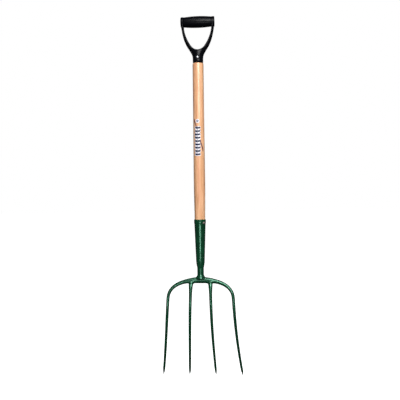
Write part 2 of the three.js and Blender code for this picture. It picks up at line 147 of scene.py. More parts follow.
def addFloor():
    floorZ = headLow.z - surroundings["floorDrop"]
    bpy.ops.mesh.primitive_circle_add(
        vertices=96, radius=surroundings["floorRadius"], fill_type="NGON", location=(0, 0, floorZ))
    floor = bpy.context.object
    floor.name = "floor"
    paint = bpy.data.materials.new("paperFloor")
    paint.use_nodes = True
    shader = paint.node_tree.nodes["Principled BSDF"]
    shader.inputs["Base Color"].default_value = (0.8, 0.8, 0.8, 1)
    shader.inputs["Roughness"].default_value = 0.9
    shader.inputs["Emission Color"].default_value = (1, 1, 1, 1)
    shader.inputs["Emission Strength"].default_value = 1.0
    floor.data.materials.append(paint)
    floor.visible_diffuse = False
    floor.visible_glossy = False


addCamera()
addLamps()
addSurroundings()
addFloor()
bpy.context.scene.view_settings.view_transform = "Standard"
print("camera, lamps and floor are set")


# One socket of a material's nodes. Sums on it add Math nodes, and node() adds any other kind.
class Wire:
    def __init__(self, tree, socket):
        self.tree = tree
        self.socket = socket

    def node(self, kind, settings, inputs, output=0):
        made = self.tree.nodes.new("ShaderNode" + kind)
        for name, value in settings.items():
            setattr(made, name, value)
        for name, value in inputs.items():
            plug(self.tree, made.inputs[name], value)
        return Wire(self.tree, made.outputs[output])

    def sum(self, operation, other=0.0):
        return self.node("Math", {"operation": operation}, {0: self, 1: other})

    def __add__(self, other):
        return self.sum("ADD", other)

    def __sub__(self, other):
        return self.sum("SUBTRACT", other)

    def __rsub__(self, other):
        return self * -1 + other

    def __mul__(self, other):
        return self.sum("MULTIPLY", other)

    def __truediv__(self, other):
        return self.sum("DIVIDE", other)

    def __pow__(self, other):
        return self.sum("POWER", other)

    __radd__ = __add__
    __rmul__ = __mul__


def plug(tree, socket, value):
    if isinstance(value, Wire):
        tree.links.new(value.socket, socket)
    else:
        socket.default_value = value


# A new material, and its pieces' coordinates in millimetres.
def startMaterial(name):
    material = bpy.data.materials.new(name)
    material.use_nodes = True
    tree = material.node_tree
    metres = Wire(tree, tree.nodes.new("ShaderNodeTexCoord").outputs["Object"])
    return material, stretched(metres, 1000, 1000, 1000)


def finishMaterial(material, **inputs):
    shader = material.node_tree.nodes["Principled BSDF"]
    for name, value in inputs.items():
        plug(material.node_tree, shader.inputs[name.replace("_", " ")], value)
    return material


def stretched(place, x, y, z):
    return place.node("VectorMath", {"operation": "MULTIPLY"}, {0: place, 1: (x, y, z)})


def noise(place, scale, detail=2.0, rough=0.5):
    inputs = {"Vector": place, "Scale": scale, "Detail": detail, "Roughness": rough}
    return place.node("TexNoise", {}, inputs)


def partOf(place, axis):
    return place.node("SeparateXYZ", {}, {0: place}, axis)


# 0 where the value is at low or under, 1 at high or over, and a smooth step between.
def ramp(value, low, high):
    limits = {"Value": value, "From Min": low, "From Max": high}
    return value.node("MapRange", {"interpolation_type": "SMOOTHSTEP"}, limits)


def blend(share, first, second):
    return share.node("Mix", {"data_type": "RGBA"}, {0: share, 6: first, 7: second}, 2)


def bump(height, strength, distance):
    return height.node("Bump", {}, {"Strength": strength, "Distance": distance, "Height": height})


# A screen colour, 0 to 255, as the light that the shader works in.
def paint(red, green, blue):
    return tuple(((part / 255 + 0.055) / 1.055) ** 2.4 for part in (red, green, blue)) + (1,)


enamelLook = {
    "body": paint(5, 52, 30),
    "thin": paint(12, 72, 43),     # where the coat is thinner
    "thick": paint(2, 34, 20),     # and where it has run together
    "sheen": paint(178, 255, 220), # the tint of what it reflects
    "roughness": 0.24,
    "peel": 0.12,                  # how strong the orange peel is
    "forging": 0.35,               # and the hammered unevenness under it
    "waveScale": 0.045,
    "runScale": 0.16,
    "peelScale": 1.1,
    "speckScale": 2.6,
    "unevenness": 0.0012,          # metres of height that the bump stands for
}


# Stoved green enamel over a forging: glossy, with a fine orange peel and slow hammered waves.
def makeGreenEnamel():
    material, place = startMaterial("greenEnamel")
    waves = noise(place, enamelLook["waveScale"], 3.0, 0.55)
    runs = noise(stretched(place, 1, 1, 0.22), enamelLook["runScale"], 3.0)
    peel = noise(place, enamelLook["peelScale"], 2.0)
    specks = ramp(noise(place, enamelLook["speckScale"], 1.0), 0.70, 0.76)
    thinned = blend(ramp(waves, 0.42, 0.72) * 0.5, enamelLook["body"], enamelLook["thin"])
    coated = blend(ramp(runs, 0.45, 0.7) * 0.6, thinned, enamelLook["thick"])
    colour = blend(specks * 0.35, coated, enamelLook["thin"])
    gloss = enamelLook["roughness"] + (runs - 0.5) * 0.16 + specks * 0.1
    height = waves * enamelLook["forging"] + peel * enamelLook["peel"] * 0.1
    return finishMaterial(
        material, Base_Color=colour, Roughness=gloss,
        Normal=bump(height, 0.6, enamelLook["unevenness"]),
        Specular_IOR_Level=1.0, Specular_Tint=enamelLook["sheen"])


woodLook = {
    "pale": paint(236, 188, 146),
    "tan": paint(214, 158, 112),
    "pink": paint(232, 166, 134),
    "late": paint(184, 124, 82),    # the dense line that ends each year's growth
    "pore": paint(128, 82, 52),
    "ringGap": 3.1,                 # millimetres between growth rings
    "ringCentre": (23.0, 61.0),     # the tree's heart, from the shaft's axis
    "roughness": 0.42,
    "lateShare": 0.42,              # how far each of these colours the wood
    "poreShare": 0.55,
    "pinkShare": 0.75,
    "lacquer": 0.3,
    "lacquerRoughness": 0.22,
}


# Lacquered ash. The shaft is split from beside the tree's heart, so its rings run as long lines.
def makeAshWood():
    material, place = startMaterial("ashWood")
    heartX, heartY = woodLook["ringCentre"]
    drift = noise(stretched(place, 0.4, 0.4, 0.035), 0.16, 2.0) * 7
    x = partOf(place, "X") - heartX + drift
    y = partOf(place, "Y") - heartY
    ringRadius = (x * x + y * y) ** 0.5
    wobble = noise(stretched(place, 1, 1, 0.05), 0.5, 3.0) * 0.7
    ring = (ringRadius / woodLook["ringGap"] + wobble).sum("FRACT")
    lateLine = ramp(ring, 0.62, 0.97)
    fibre = noise(stretched(place, 1, 1, 0.018), 2.3, 4.0, 0.6)
    pores = ramp(noise(stretched(place, 1, 1, 0.07), 1.9, 1.0), 0.60, 0.70) * (1 - ramp(ring, 0.25, 0.6))
    patches = noise(stretched(place, 0.35, 0.35, 0.018), 0.6, 2.0)
    blush = noise(stretched(place, 0.6, 0.6, 0.012), 0.5, 2.0, 0.4)
    ground = blend(ramp(patches, 0.35, 0.65), woodLook["pale"], woodLook["tan"])
    warmed = blend(ramp(blush, 0.50, 0.68) * woodLook["pinkShare"], ground, woodLook["pink"])
    streaked = blend(ramp(fibre, 0.4, 0.75) * 0.4, warmed, woodLook["tan"])
    ringed = blend(lateLine * woodLook["lateShare"], streaked, woodLook["late"])
    colour = blend(pores * woodLook["poreShare"], ringed, woodLook["pore"])
    height = fibre * 0.3 - pores * 0.6 - lateLine * 0.15
    gloss = woodLook["roughness"] + (fibre - 0.5) * 0.2 + pores * 0.15
    return finishMaterial(
        material, Base_Color=colour, Roughness=gloss, Normal=bump(height, 0.35, 0.0003),
        Coat_Weight=woodLook["lacquer"], Coat_Roughness=woodLook["lacquerRoughness"])


plasticLook = {
    "black": paint(7, 8, 12),
    "worn": paint(22, 23, 29),      # where handling has polished and greyed it
    "shine": 0.1,
    "roughness": 0.28,
    "sparkSize": 0.9,               # grains to the millimetre in the mould's texture
}


# Moulded black plastic with a spark-eroded skin.
def makeBlackPlastic():
    material, place = startMaterial("blackPlastic")
    grain = noise(place, plasticLook["sparkSize"] * 2, 2.0, 0.6)
    clouds = noise(place, 0.06, 3.0)
    scuffs = ramp(noise(stretched(place, 0.3, 1, 1.4), 0.8, 3.0, 0.6), 0.62, 0.72)
    colour = blend(scuffs * 0.2 + ramp(clouds, 0.5, 0.8) * 0.25, plasticLook["black"], plasticLook["worn"])
    gloss = plasticLook["roughness"] + (clouds - 0.5) * 0.2 + scuffs * 0.08
    return finishMaterial(
        material, Base_Color=colour, Roughness=gloss, Normal=bump(grain, 0.12, 0.00012),
        Specular_IOR_Level=plasticLook["shine"])


steelLook = {
    "bright": paint(206, 210, 214),
    "dull": paint(148, 152, 156),
    "rust": paint(96, 66, 42),
    "roughness": 0.34,
}


# Zinc-plated steel, cloudy where the plating has dulled. A share of rust browns it.
def makeRivetSteel(name, rustShare):
    material, place = startMaterial(name)
    clouds = noise(place, 0.7, 3.0)
    scratches = noise(stretched(place, 3.0, 1, 0.5), 3.0, 2.0)
    plated = blend(ramp(clouds, 0.35, 0.7), steelLook["bright"], steelLook["dull"])
    stained = ramp(clouds, 0.7 - rustShare, 0.85 - rustShare) * rustShare
    gloss = steelLook["roughness"] + (scratches - 0.5) * 0.25 + stained * 0.3
    return finishMaterial(
        material, Base_Color=blend(stained, plated, steelLook["rust"]), Metallic=0.9 - stained * 0.7,
        Roughness=gloss, Normal=bump(scratches, 0.15, 0.0001))


greenEnamel = makeGreenEnamel()
ashWood = makeAshWood()
blackPlastic = makeBlackPlastic()
zincSteel = makeRivetSteel("zincSteel", 0.0)
dullSteel = makeRivetSteel("dullSteel", 0.7)
print("materials are mixed")


def selectOnly(piece):
    bpy.ops.object.select_all(action="DESELECT")
    piece.select_set(True)
    bpy.context.view_layer.objects.active = piece


def startEditing(piece):
    selectOnly(piece)
    bpy.ops.object.transform_apply(location=True, rotation=True, scale=True)
    bpy.ops.object.mode_set(mode="EDIT")
    bpy.ops.mesh.select_mode(type="FACE")
    bpy.ops.mesh.select_all(action="SELECT")


# Merges what meets and points every face outwards, then leaves edit mode.
def endEditing():
    bpy.ops.mesh.select_all(action="SELECT")
    bpy.ops.mesh.remove_doubles(threshold=2e-6)
    bpy.ops.mesh.normals_make_consistent(inside=False)
    bpy.ops.object.mode_set(mode="OBJECT")


# Selects the faces that pass a test, in edit mode, and gives back their middle and direction.
def pickFaces(test):
    mesh = bpy.context.edit_object.data
    shape = bmesh.from_edit_mesh(mesh)
    shape.normal_update()
    bpy.ops.mesh.select_all(action="DESELECT")
    picked = [face for face in shape.faces if test(face.calc_center_median(), face.normal)]
    for face in picked:
        face.select_set(True)
    shape.select_flush_mode()
    bmesh.update_edit_mesh(mesh)
    return picked[0].calc_center_median(), picked[0].normal.copy()


# Turns the selection from one direction to another. The operator counts angles the other way.
def turnSelection(before, after, centre):
    for axis, angle in zip("XYZ", before.rotation_difference(after).to_euler("XYZ")):
        if abs(angle) > 1e-5:
            bpy.ops.transform.rotate(value=-angle, orient_axis=axis, center_override=centre)


# Extrudes the picked face through stations of (centre, direction, width, depth). The depth runs
# along the deep axes, and the width along the others.
def growBar(stations, deepAxes):
    for before, after in zip(stations, stations[1:]):
        centre, direction, width, depth = after
        bpy.ops.mesh.extrude_region_move(TRANSFORM_OT_translate={"value": centre - before[0]})
        turnSelection(before[1], direction, centre)
        growth = [depth / before[3] if axis in deepAxes else width / before[2] for axis in "XYZ"]
        bpy.ops.transform.resize(value=growth, center_override=centre)


# A body turned about Z, extruded ring by ring along an outline of (radius, height) pairs. A tube's
# outline comes back to its first ring.
def turnBody(name, outline, sides=96, tube=False):
    (radius, z), *rest = outline
    bpy.ops.object.select_all(action="DESELECT")
    bpy.ops.mesh.primitive_circle_add(
        vertices=sides, radius=radius, fill_type="NOTHING" if tube else "NGON", location=(0, 0, z))
    body = bpy.context.object
    body.name = name
    bpy.ops.object.transform_apply(location=True, rotation=True, scale=True)
    bpy.ops.object.mode_set(mode="EDIT")
    bpy.ops.mesh.select_mode(type="EDGE" if tube else "FACE")
    bpy.ops.mesh.select_all(action="SELECT")
    for nextRadius, nextZ in rest:
        bpy.ops.mesh.extrude_region_move(TRANSFORM_OT_translate={"value": (0, 0, nextZ - z)})
        ratio = nextRadius / radius
        bpy.ops.transform.resize(value=(ratio, ratio, 1), center_override=(0, 0, nextZ))
        radius, z = nextRadius, nextZ
    endEditing()
    return body


# Lays a body that was turned about Z down along X or Y, at a height.
def layDown(body, axis, height):
    selectOnly(body)
    body.rotation_euler = {"X": (0, math.pi / 2, 0), "Y": (-math.pi / 2, 0, 0)}[axis]
    body.location = (0, 0, height)
    bpy.ops.object.transform_apply(location=True, rotation=True, scale=True)
    return body


def spinRound(body, degrees):
    selectOnly(body)
    body.rotation_euler = (0, 0, math.radians(degrees))
    bpy.ops.object.transform_apply(location=True, rotation=True, scale=True)
    return body


def mirroredCopy(body):
    selectOnly(body)
    bpy.ops.object.duplicate()
    copy = bpy.context.object
    copy.scale = (-1, 1, 1)
    startEditing(copy)
    endEditing()
    return copy


def useModifier(piece, kind, **settings):
    selectOnly(piece)
    modifier = piece.modifiers.new(kind, kind)
    for name, value in settings.items():
        setattr(modifier, name, value)
    bpy.ops.object.modifier_apply(modifier=modifier.name)


# Cuts a tool away from a piece, or joins it on, and clears the tool away.
def carve(piece, tool, operation="DIFFERENCE"):
    useModifier(piece, "BOOLEAN", object=tool, operation=operation, solver="EXACT")
    bpy.data.objects.remove(tool)


# Hands a piece over to the fork: its name, its finish, and the frame's pieces that it stands for.
def handOver(piece, name, slot, material, *nodes):
    selectOnly(piece)
    bpy.ops.object.transform_apply(location=True, rotation=True, scale=True)
    bpy.ops.object.shade_smooth_by_angle(angle=math.radians(34))
    piece.name = name
    piece.data.name = name
    piece.data.materials.clear()
    piece.data.materials.append(material)
    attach(piece, "root")
    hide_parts(*nodes)
    print(name, "is done with", len(piece.data.polygons), "faces")
    return piece


def between(low, high, share):
    return low + (high - low) * share


# Points along a Bezier curve of any number of control points.
def curvePoints(controls, steps):
    points = []
    for step in range(steps + 1):
        row = [Vector(point) for point in controls]
        while len(row) > 1:
            row = [a.lerp(b, step / steps) for a, b in zip(row, row[1:])]
        points.append(tuple(row[0]))
    return points


# A quarter round from one outline point to another, bulging towards a corner.
def roundOff(start, corner, end, steps=4):
    return curvePoints([start, corner, end], steps)


# A plain rod's outline from end to end, with its edges broken.
def rodLine(radius, half):
    return [(radius - edgeBreak, -half), (radius, edgeBreak - half),
            (radius, half - edgeBreak), (radius - edgeBreak, half)]


ferruleMake = {
    "wall": 0.0012,
    "mouthBore": 0.0180,
    "waistBore": 0.0130,
    "endBore": 0.0098,
    "waistHeight": 0.015,      # of the end that is closed in over the shank
    "endRadius": 0.011,
    "rimHeight": 0.013,        # of the thicker band at the mouth
    "rimThickening": 0.00045,
    "lipRounding": 0.0008,
    "shoulder": 0.008,         # how far above the waist the closing curve ends
    "closingLow": (0.0014, 0.006),   # its lower handle: outwards and up from the foot
    "closingHigh": (0.0008, 0.002),  # its upper handle: in from the side and down from the waist
    "bandStep": 0.0016,        # how far below and above its edge the band's step runs
}
waistZ = ferruleLow.z + ferruleMake["waistHeight"]


def ferruleBoreAt(z):
    if z < waistZ:
        share = (z - ferruleLow.z) / (waistZ - ferruleLow.z)
        return between(ferruleMake["endBore"], ferruleMake["waistBore"], share)
    return between(ferruleMake["waistBore"], ferruleMake["mouthBore"], (z - waistZ) / (mouthZ - waistZ))


ferruleRivetMake = {
    "turn": 45,                # degrees round the shaft from the front
    "radius": 0.0022,
    "headRadius": 0.004,
    "headHeight": 0.0015,
}


def ferruleRivetBore():
    reach = ferruleMake["mouthBore"] + 0.005
    radius = ferruleRivetMake["radius"] + fitGap
    bore = layDown(turnBody("bore", [(radius, -reach), (radius, reach)], 40), "Y", ferruleRivetZ)
    return spinRound(bore, ferruleRivetMake["turn"])


# A drawn steel tube: closed in over the shank at its foot, with a thicker rolled band at its mouth.
def buildFerrule():
    wall = ferruleMake["wall"]
    lip = ferruleMake["lipRounding"]
    foot = ferruleLow.z
    end = ferruleMake["endRadius"]
    sideZ = waistZ + ferruleMake["shoulder"]
    side = ferruleBoreAt(sideZ) + wall
    bandZ = mouthZ - ferruleMake["rimHeight"]
    belowBand = ferruleBoreAt(bandZ) + wall
    rim = ferruleMake["mouthBore"] + wall + ferruleMake["rimThickening"]
    outLow, upLow = ferruleMake["closingLow"]
    inHigh, downHigh = ferruleMake["closingHigh"]
    bandStep = ferruleMake["bandStep"]
    closing = curvePoints([(end, foot + lip), (end + outLow, foot + upLow),
                           (side - inHigh, waistZ - downHigh), (side, sideZ)], 12)
    step = curvePoints([(belowBand, bandZ - bandStep), (belowBand, bandZ), (rim, bandZ),
                        (rim, bandZ + bandStep)], 6)
    outline = [(ferruleMake["endBore"], foot), (end - lip, foot)]
    outline += roundOff((end - lip / 2, foot), (end, foot), closing[0], 3)[:-1]
    outline += closing
    outline += [(ferruleBoreAt(z) + wall, z) for z in (between(sideZ, bandZ, n / 6) for n in range(1, 6))]
    outline += step
    outline += roundOff((rim, mouthZ - lip), (rim, mouthZ), (rim - lip, mouthZ))
    outline += [(ferruleMake["mouthBore"], mouthZ), (ferruleMake["waistBore"], waistZ)]
    outline.append(outline[0])
    tube = turnBody("ferrule", outline, 96, tube=True)
    carve(tube, ferruleRivetBore())
    return handOver(tube, "taperedFerrule", "green_enamel", greenEnamel, "ferrule")


shaftMake = {
    "footRadius": 0.0177,      # at the ferrule's mouth
    "footBevel": 0.0005,
    "swellRadius": 0.0190,     # at its thickest
    "swellHeight": 0.120,      # of that place above the mouth
    "topRadius": 0.0182,
    "shoulderRounding": 0.002,
    "tenonRadius": 0.0145,
    "tenonBevel": 0.001,
    "boreTipRadius": 0.0038,   # of the hole that the tang is driven into
    "boreRootRadius": 0.0073,
}


# The turned surface between the ferrule's mouth and the grip, as (radius, height) from the foot up.
def shaftLine():
    foot, swell, top = (shaftMake[name] for name in ("footRadius", "swellRadius", "topRadius"))
    swellZ = mouthZ + shaftMake["swellHeight"]
    topZ = rimZ - fitGap - shaftMake["shoulderRounding"]
    third = shaftMake["swellHeight"] / 3
    bendZ = between(swellZ, topZ, 1 / 3)
    lower = [(foot, mouthZ), (foot, mouthZ + third), (swell, swellZ - third), (swell, swellZ)]
    upper = [(swell, swellZ), (swell, bendZ), (top, bendZ), (top, topZ)]
    return curvePoints(lower, 10) + curvePoints(upper, 24)[1:]


def gripRivetBore(reach):
    radius = gripRivetMake["radius"] + fitGap
    return layDown(turnBody("bore", [(radius, -reach), (radius, reach)], 40), "Y", gripRivetZ)


# The ash shaft, turned: its foot fills the ferrule, and its tenon goes up into the grip's socket.
def buildShaft():
    footZ = shaftLow.z
    tenon = shaftMake["tenonRadius"]
    shoulderZ = rimZ - fitGap
    top = shaftMake["topRadius"]
    rounding = shaftMake["shoulderRounding"]
    footRadius = ferruleBoreAt(footZ) - fitGap
    footBevel = shaftMake["footBevel"]
    tenonBevel = shaftMake["tenonBevel"]
    outline = [
        (shaftMake["boreTipRadius"], headHigh.z + fitGap),
        (shaftMake["boreRootRadius"], footZ),
        (footRadius - footBevel, footZ),
        (footRadius, footZ + footBevel),
    ]
    outline += shaftLine()
    outline += roundOff((top, shoulderZ - rounding), (top, shoulderZ), (top - rounding, shoulderZ))[1:]
    outline += [(tenon, shoulderZ), (tenon, shaftHigh.z - tenonBevel), (tenon - tenonBevel, shaftHigh.z)]
    shaft = turnBody("shaft", outline)
    carve(shaft, gripRivetBore(tenon + 2 * smallStep))
    carve(shaft, ferruleRivetBore())
    return handOver(shaft, "ashShaft", "ash_wood", ashWood, "wood_shaft")


headMake = {
    "shankLength": 0.0217,
    "shankRadius": 0.011,
    "flareHeight": 0.0117,     # from the shank to the collar's widest place
    "collarRadius": 0.01625,
    "collarDome": 0.0067,
    "tangRootRadius": 0.007,
    "tangTipRadius": 0.0035,
    "tangPoint": 0.002,        # length of the tang's blunt point
    "halfWidth": 0.1092,       # from the middle to an outer tine, just under its bend
    "bowRise": 0.066,
    "bowSquareness": 2.5,
    "bowRadius": 0.0078,
    "bowTaper": 1.6,
    "crownHeight": 0.0217,     # of the bow at its middle, where it is taller than it is deep
    "crownReach": 0.038,       # how far out from the middle that height lasts
    "tineDrop": 0.330,         # from the bow's middle down to the tips
    "tineRadii": [(0.0, 0.0006), (0.017, 0.0042), (0.264, 0.00545)],  # distance from the tip, radius
    "outerTipX": 0.136,
    "innerTopX": 0.0326,
    "innerTipX": 0.0452,
    "bowLean": 0.42,           # how far forwards the bow leans for its fall
    "tipReach": 0.048,         # how far back the tips end up
    "tipLean": 0.385,
    "rootReach": 0.0085,       # half the width of an inner tine's root on the bow
    "crownRing": 0.012,        # where the cage has rings: inside the roots
    "outerRings": (0.056, 0.070, 0.082),   # and outside them
    "tineRings": 10,
    "rootRows": [              # drop below the bow's centre line, width and depth
        (0.0130, 0.0158, 0.0128),
        (0.0190, 0.0142, 0.0118),
        (0.0320, 0.0124, 0.0110),
        (0.0460, 0.0110, 0.0104),
    ],
    "subdivisions": 3,
}
squareToRound = 1 / 0.93       # a square section's side, for the round bar it is smoothed into
shankTopZ = ferruleLow.z - fitGap
shankEndZ = shankTopZ - headMake["shankLength"]
collarZ = shankEndZ - headMake["flareHeight"]
bowZ = collarZ - headMake["collarDome"]
bendEndZ = bowZ - headMake["bowRise"]
tipZ = bowZ - headMake["tineDrop"]


# How far forwards or back the tines run at a height: one smooth bend from the bow to the tips.
def sideY(z):
    fall = (bowZ - z) / headMake["tineDrop"]
    leaveBow = fall ** 3 - 2 * fall ** 2 + fall
    arrive = 3 * fall ** 2 - 2 * fall ** 3
    leaveTip = fall ** 3 - fall ** 2
    lean = leaveTip * headMake["tipLean"] - leaveBow * headMake["bowLean"]
    return arrive * headMake["tipReach"] + headMake["tineDrop"] * lean


def tineRadius(fromTip):
    rows = headMake["tineRadii"]
    for (nearer, thin), (further, thick) in zip(rows, rows[1:]):
        if fromTip <= further:
            return between(thin, thick, (fromTip - nearer) / (further - nearer))
    return rows[-1][1]


# A point on the bow's centre line, for a share of its quarter turn, and the bar's height and depth
# there as the cage has them.
def bowPoint(share):
    turn = math.pi / 2 * share
    power = 2 / headMake["bowSquareness"]
    outwards = math.sin(turn) ** power
    z = bendEndZ + headMake["bowRise"] * math.cos(turn) ** power
    x = headMake["halfWidth"] * outwards
    thin = headMake["tineRadii"][-1][1]
    radius = thin + (headMake["bowRadius"] - thin) * (1 - outwards ** headMake["bowTaper"])
    extra = headMake["crownHeight"] / 2 - headMake["bowRadius"]
    crown = extra * math.exp(-(x / headMake["crownReach"]) ** 3)
    height = 2 * (radius + crown) * squareToRound
    depth = 2 * min(radius + crown, headMake["bowRadius"]) * squareToRound
    return Vector((x, sideY(z), z)), height, depth


# The share of the bow's turn at which it is a distance from the middle.
def bowShare(x):
    return math.asin((x / headMake["halfWidth"]) ** (headMake["bowSquareness"] / 2)) * 2 / math.pi


# A point on a tine that spreads from one place to another on its way down, and its width and depth.
def tinePoint(topX, bottomX, topZ, z):
    fall = (topZ - z) / (topZ - tipZ)
    point = Vector((topX + (bottomX - topX) * (fall + fall * fall) / 2, sideY(z), z))
    side = 2 * tineRadius(z - tipZ) * squareToRound
    return point, side, side


# Gives each point of a bar its direction, from its neighbours.
def barStations(points, firstDirection):
    stations = []
    for number, (centre, width, depth) in enumerate(points):
        before = points[max(0, number - 1)][0]
        after = points[min(len(points) - 1, number + 1)][0]
        direction = firstDirection if number == 0 else (after - before).normalized()
        stations.append((centre, direction, width, depth))
    return stations


# Heights from the start of a tine to its tip, closer together where it is drawn to a point.
def tineHeights(startZ, steps):
    shoulder = tipZ + headMake["tineRadii"][1][0]
    return [between(startZ, shoulder, n / steps) for n in range(1, steps + 1)] + [
        between(shoulder, tipZ, 0.5), tipZ + 0.0012, tipZ]


# The turned part of the head: tang, neck, shank, flare and the domed collar that sits on the bow.
def buildHeadStem():
    collar = headMake["collarRadius"]
    shank = headMake["shankRadius"]
    dome = headMake["collarDome"]
    flare = headMake["flareHeight"]
    neck = ferruleMake["endBore"] - fitGap
    outline = []
    for degrees in range(88, 0, -8):
        turn = math.radians(degrees)
        outline.append((collar * math.cos(turn), collarZ - dome * math.sin(turn)))
    outline += curvePoints([(collar, collarZ), (collar, collarZ + flare * 0.35),
                            (shank, shankEndZ - flare * 0.3), (shank, shankEndZ)], 12)
    outline += roundOff((shank, shankTopZ - 0.0005), (shank, shankTopZ), (shank - 0.0005, shankTopZ), 3)
    outline += [(neck, shankTopZ), (neck, waistZ), (headMake["tangRootRadius"], waistZ)]
    tangTip = headMake["tangTipRadius"]
    outline += [(tangTip, headHigh.z - headMake["tangPoint"]), (tangTip / 2, headHigh.z)]
    return turnBody("stem", outline)


# The bow and tines are one smoothed cage: the bow's half is grown from its middle round the bend
# and down the outer tine, the inner tine is drawn out of its underside, and the half is mirrored.
def buildForgedHead():
    middle, height, depth = bowPoint(0)
    bpy.ops.object.select_all(action="DESELECT")
    bpy.ops.mesh.primitive_plane_add(size=1, location=middle, rotation=(0, math.pi / 2, 0))
    bars = bpy.context.object
    bars.scale = (height, depth, 1)
    startEditing(bars)

    rootX = headMake["innerTopX"]
    reach = headMake["rootReach"]
    rings = (0, headMake["crownRing"], rootX - reach, rootX + reach, *headMake["outerRings"])
    shares = [bowShare(x) for x in rings]
    shares += [between(shares[-1], 1, n / 5) for n in range(1, 6)]
    outline = [bowPoint(share) for share in shares]
    for z in tineHeights(bendEndZ, headMake["tineRings"]):
        outline.append(tinePoint(headMake["halfWidth"], headMake["outerTipX"], bendEndZ, z))
    growBar(barStations(outline, Vector((1, 0, 0))), "Y")

    rootFace, rootDirection = pickFaces(
        lambda centre, normal: abs(centre.x - rootX) < reach / 2 and normal.z < -0.7)
    rootTop, _, bowDepth = bowPoint(bowShare(rootX))
    points = [(rootFace, 2 * reach, bowDepth)]
    for drop, width, depth in headMake["rootRows"]:
        centre = tinePoint(rootX, headMake["innerTipX"], rootTop.z, rootTop.z - drop)[0]
        points.append((centre, width * squareToRound, depth * squareToRound))
    rootEndZ = rootTop.z - headMake["rootRows"][-1][0]
    for z in tineHeights(rootEndZ, headMake["tineRings"]):
        points.append(tinePoint(rootX, headMake["innerTipX"], rootTop.z, z))
    growBar(barStations(points, rootDirection), "YZ")

    pickFaces(lambda centre, normal: centre.x < 1e-5 and normal.x < -0.9)
    bpy.ops.mesh.delete(type="FACE")
    bpy.ops.object.mode_set(mode="OBJECT")
    useModifier(bars, "MIRROR", use_clip=True, merge_threshold=1e-5)
    startEditing(bars)
    endEditing()
    levels = headMake["subdivisions"]
    useModifier(bars, "SUBSURF", levels=levels, render_levels=levels)
    carve(bars, buildHeadStem(), "UNION")
    return handOver(bars, "forgedHead", "green_enamel", greenEnamel, "forged_head")


gripMake = {
    "socketRadius": 0.0174,
    "socketBore": 0.0148,
    "socketDepth": 0.040,
    "socketLeadIn": 0.0008,    # the bore's widening at the rim
    "startDrop": 0.004,        # how far under the rim the cage starts, before it is cut off there
    "rings": [                 # height above the rim, half-width and half-depth of the socket
        (0.009, 0.0174, 0.0174),
        (0.0185, 0.0174, 0.0174),
        (0.0275, 0.0188, 0.0174),
        (0.0360, 0.0236, 0.0171),
        (0.0434, 0.0278, 0.0166),
    ],
    "arm": [                   # the cage's inner edge (x, z), its lean in degrees, its width and depth
        (0.0165, -0.0690, 0, 0.0180, 0.0380),
        (0.0275, -0.0525, 30, 0.0143, 0.0342),
        (0.0355, -0.0375, 24, 0.0125, 0.0326),
        (0.0410, -0.0235, 18, 0.0105, 0.0332),
        (0.0448, -0.0095, 11, 0.0094, 0.0355),
        (0.0463, 0.0050, 3, 0.0100, 0.0382),
        (0.0466, 0.0190, 0, 0.0103, 0.0382),
    ],
    "eyeRadius": 0.017,
    "eyeRounding": 0.0016,
    "eyeBevel": 0.0006,        # of its inner edge
    "padRadius": 0.007,
    "padY": 0.0183,            # how far from the axis the rivet's pads stand
    "subdivisions": 3,
}
octagonToRound = 1 / 0.902     # an eight-sided ring, for the circle it is smoothed into


def buildGripEye():
    radius = gripMake["eyeRadius"]
    rounding = gripMake["eyeRounding"]
    inner = halfHand
    bevel = gripMake["eyeBevel"]
    outline = [(radius - bevel, inner), (radius, inner + bevel)]
    outline += roundOff((radius, halfGrip - rounding), (radius, halfGrip), (radius - rounding, halfGrip), 6)
    return layDown(turnBody("eye", outline), "X", crossbarZ)


